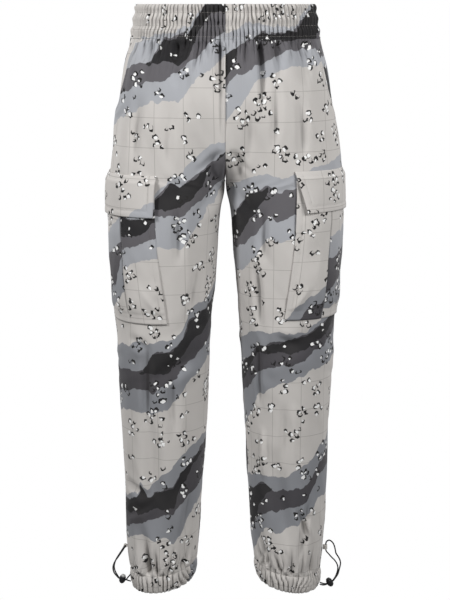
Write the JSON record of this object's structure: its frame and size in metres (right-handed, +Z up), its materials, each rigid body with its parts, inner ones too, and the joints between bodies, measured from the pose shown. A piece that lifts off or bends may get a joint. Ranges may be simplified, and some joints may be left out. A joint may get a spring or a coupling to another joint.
{
  "type": "cargo pants",
  "caption": "Full-length cargo pants held open as worn, with an elastic gathered waistband, slanted hip pockets, bellows thigh pockets with flaps and drawcord cuffs.",
  "frame": {"origin": "the middle of the waist opening, at the top edge of the waistband, where a wearer's waist holds the garment", "axes": "+Z up along the legs towards the waist, the front faces -Y, and +X is the side on the right of the picture, the wearer's left"},
  "size_m": [0.4214, 0.2606, 1.0448],
  "materials": {
    "printed_cloth": "matt printed plain weave",
    "tape": "matt woven tape",
    "elastic_cord": "dark braided elastic cord with pale flecks",
    "dark_plastic": "moulded, slightly glossy",
    "grey_plastic": "moulded, slightly glossy"
  },
  "bodies": {
    "root": {"waistband_left": "printed_cloth", "waistband_right": "printed_cloth", "front_left": "printed_cloth", "front_right": "printed_cloth", "back_left": "printed_cloth", "back_right": "printed_cloth", "hip_facing_left": "printed_cloth", "hip_facing_right": "printed_cloth", "cargo_pocket_left": "printed_cloth", "cargo_pocket_right": "printed_cloth", "cargo_flap_left": "printed_cloth", "cargo_flap_right": "printed_cloth", "cuff_left": "printed_cloth", "cuff_right": "printed_cloth", "cord_tab_left": "tape", "cord_tab_right": "tape", "drawcord_left": "elastic_cord", "drawcord_right": "elastic_cord", "cord_lock_left": "dark_plastic", "cord_lock_right": "dark_plastic", "lock_button_left": "grey_plastic", "lock_button_right": "dark_plastic"}
  },
  "joints": []
}
